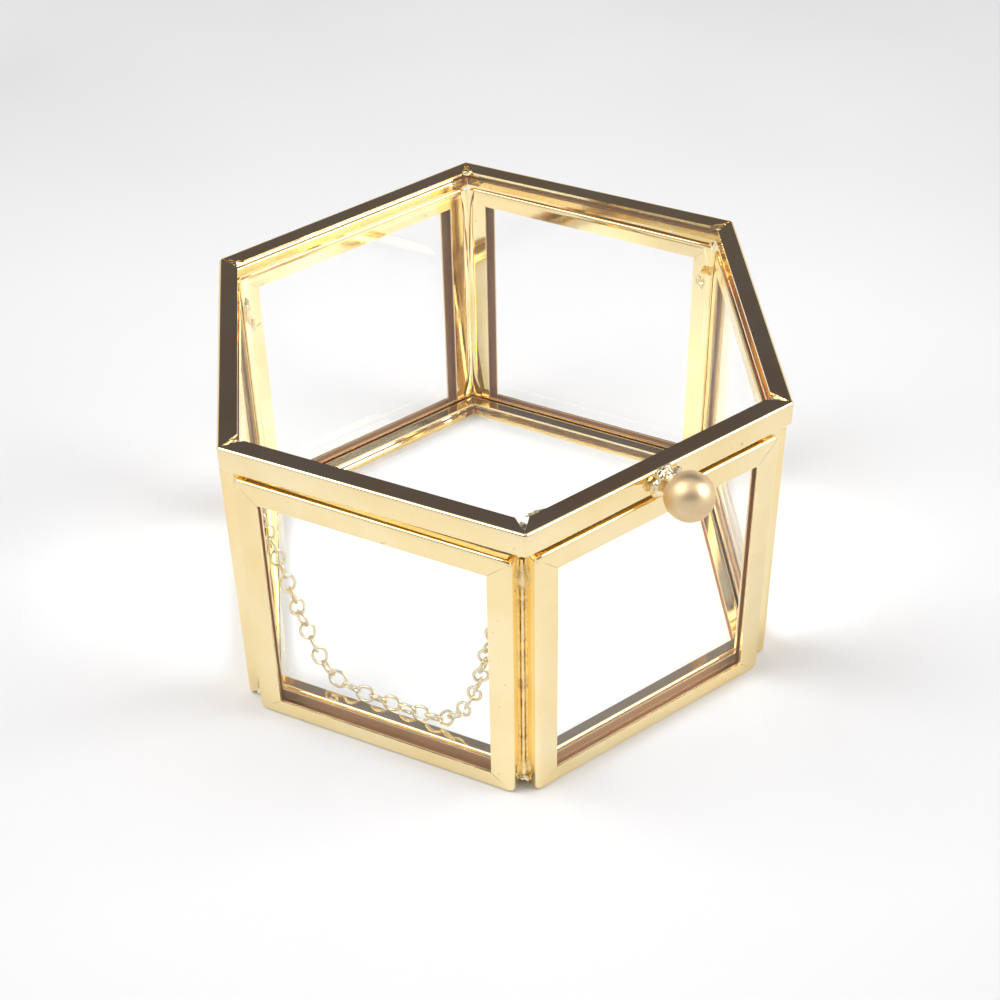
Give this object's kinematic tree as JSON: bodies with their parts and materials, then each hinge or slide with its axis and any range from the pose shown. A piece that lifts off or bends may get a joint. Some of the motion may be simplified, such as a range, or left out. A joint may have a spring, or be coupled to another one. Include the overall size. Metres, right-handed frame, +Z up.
{
  "type": "glass jewelry box",
  "caption": "Hexagonal clear-glass jewelry box in folded polished-brass frames, with a hinged framed glass lid, a ball knob and a fine chain that stops the lid.",
  "frame": {"origin": "middle of the whole object's footprint, on the surface it stands on; the centre of the hexagon is 3.3 mm towards +Y from it, because the knob reaches further out than the hinge", "axes": "+Z up, -Y out of the side with the knob, +Y out of the side with the hinge"},
  "size_m": [0.0998, 0.0996, 0.0588],
  "materials": {
    "polished_brass": "polished",
    "satin_gold": "satin",
    "chain_gold": "polished",
    "solder_gold": "uneven, gold washed",
    "clear_glass": "clear"
  },
  "bodies": {
    "box": {"side_frame_front": "polished_brass", "side_frame_front_right": "polished_brass", "side_frame_back_right": "polished_brass", "side_frame_back": "polished_brass", "side_frame_back_left": "polished_brass", "side_frame_front_left": "polished_brass", "side_pane_front": "clear_glass", "side_pane_front_right": "clear_glass", "side_pane_back_right": "clear_glass", "side_pane_back": "clear_glass", "side_pane_back_left": "clear_glass", "side_pane_front_left": "clear_glass", "corner_seam_front": "solder_gold", "corner_seam_front_right": "solder_gold", "corner_seam_back_right": "solder_gold", "corner_seam_back": "solder_gold", "corner_seam_back_left": "solder_gold", "corner_seam_front_left": "solder_gold", "base_frame": "polished_brass", "base_pane": "clear_glass", "hinge_leaf_body": "polished_brass", "hinge_pin": "polished_brass", "chain_eye_body": "solder_gold"},
    "lid": {"lid_frame": "polished_brass", "lid_pane": "clear_glass", "hinge_leaf_lid": "polished_brass", "knob_collar": "solder_gold", "knob_ball": "satin_gold", "chain_eye_lid": "solder_gold"},
    "chain_wall": {"chain_wall_run": "chain_gold"},
    "chain_base": {"chain_base_run": "chain_gold"},
    "chain_lid": {"chain_lid_run": "chain_gold"}
  },
  "joints": [
    {"name": "lid_hinge", "type": "hinge", "parent": "box", "child": "lid", "pos_m": [0, 0.04849, 0.0506], "axis": [-1, 0, 0], "range_deg": [0, 105.36]},
    {"name": "chain_wall_turn", "type": "hinge", "parent": "box", "child": "chain_wall", "pos_m": [-0.043, 0.00604, 0.0454], "axis": [-0.8863, -0.4043, 0.226], "range_deg": [0, 189.61]},
    {"name": "chain_base_turn", "type": "hinge", "parent": "chain_wall", "child": "chain_base", "pos_m": [-0.0376, -0.00516, 0.0046], "axis": [0.0146, 0.8483, 0.5293], "range_deg": [0, 121.66]},
    {"name": "chain_lid_turn", "type": "hinge", "parent": "chain_base", "child": "chain_lid", "pos_m": [-0.0276, -0.02296, 0.0048], "axis": [-0.0915, -0.8542, 0.5118], "range_deg": [0, 246.76]}
  ],
  "couplings": [
    {"joint": "chain_wall_turn", "follows": "lid_hinge", "ratio": 1.7996},
    {"joint": "chain_base_turn", "follows": "lid_hinge", "ratio": 1.1547},
    {"joint": "chain_lid_turn", "follows": "lid_hinge", "ratio": 2.342}
  ]
}
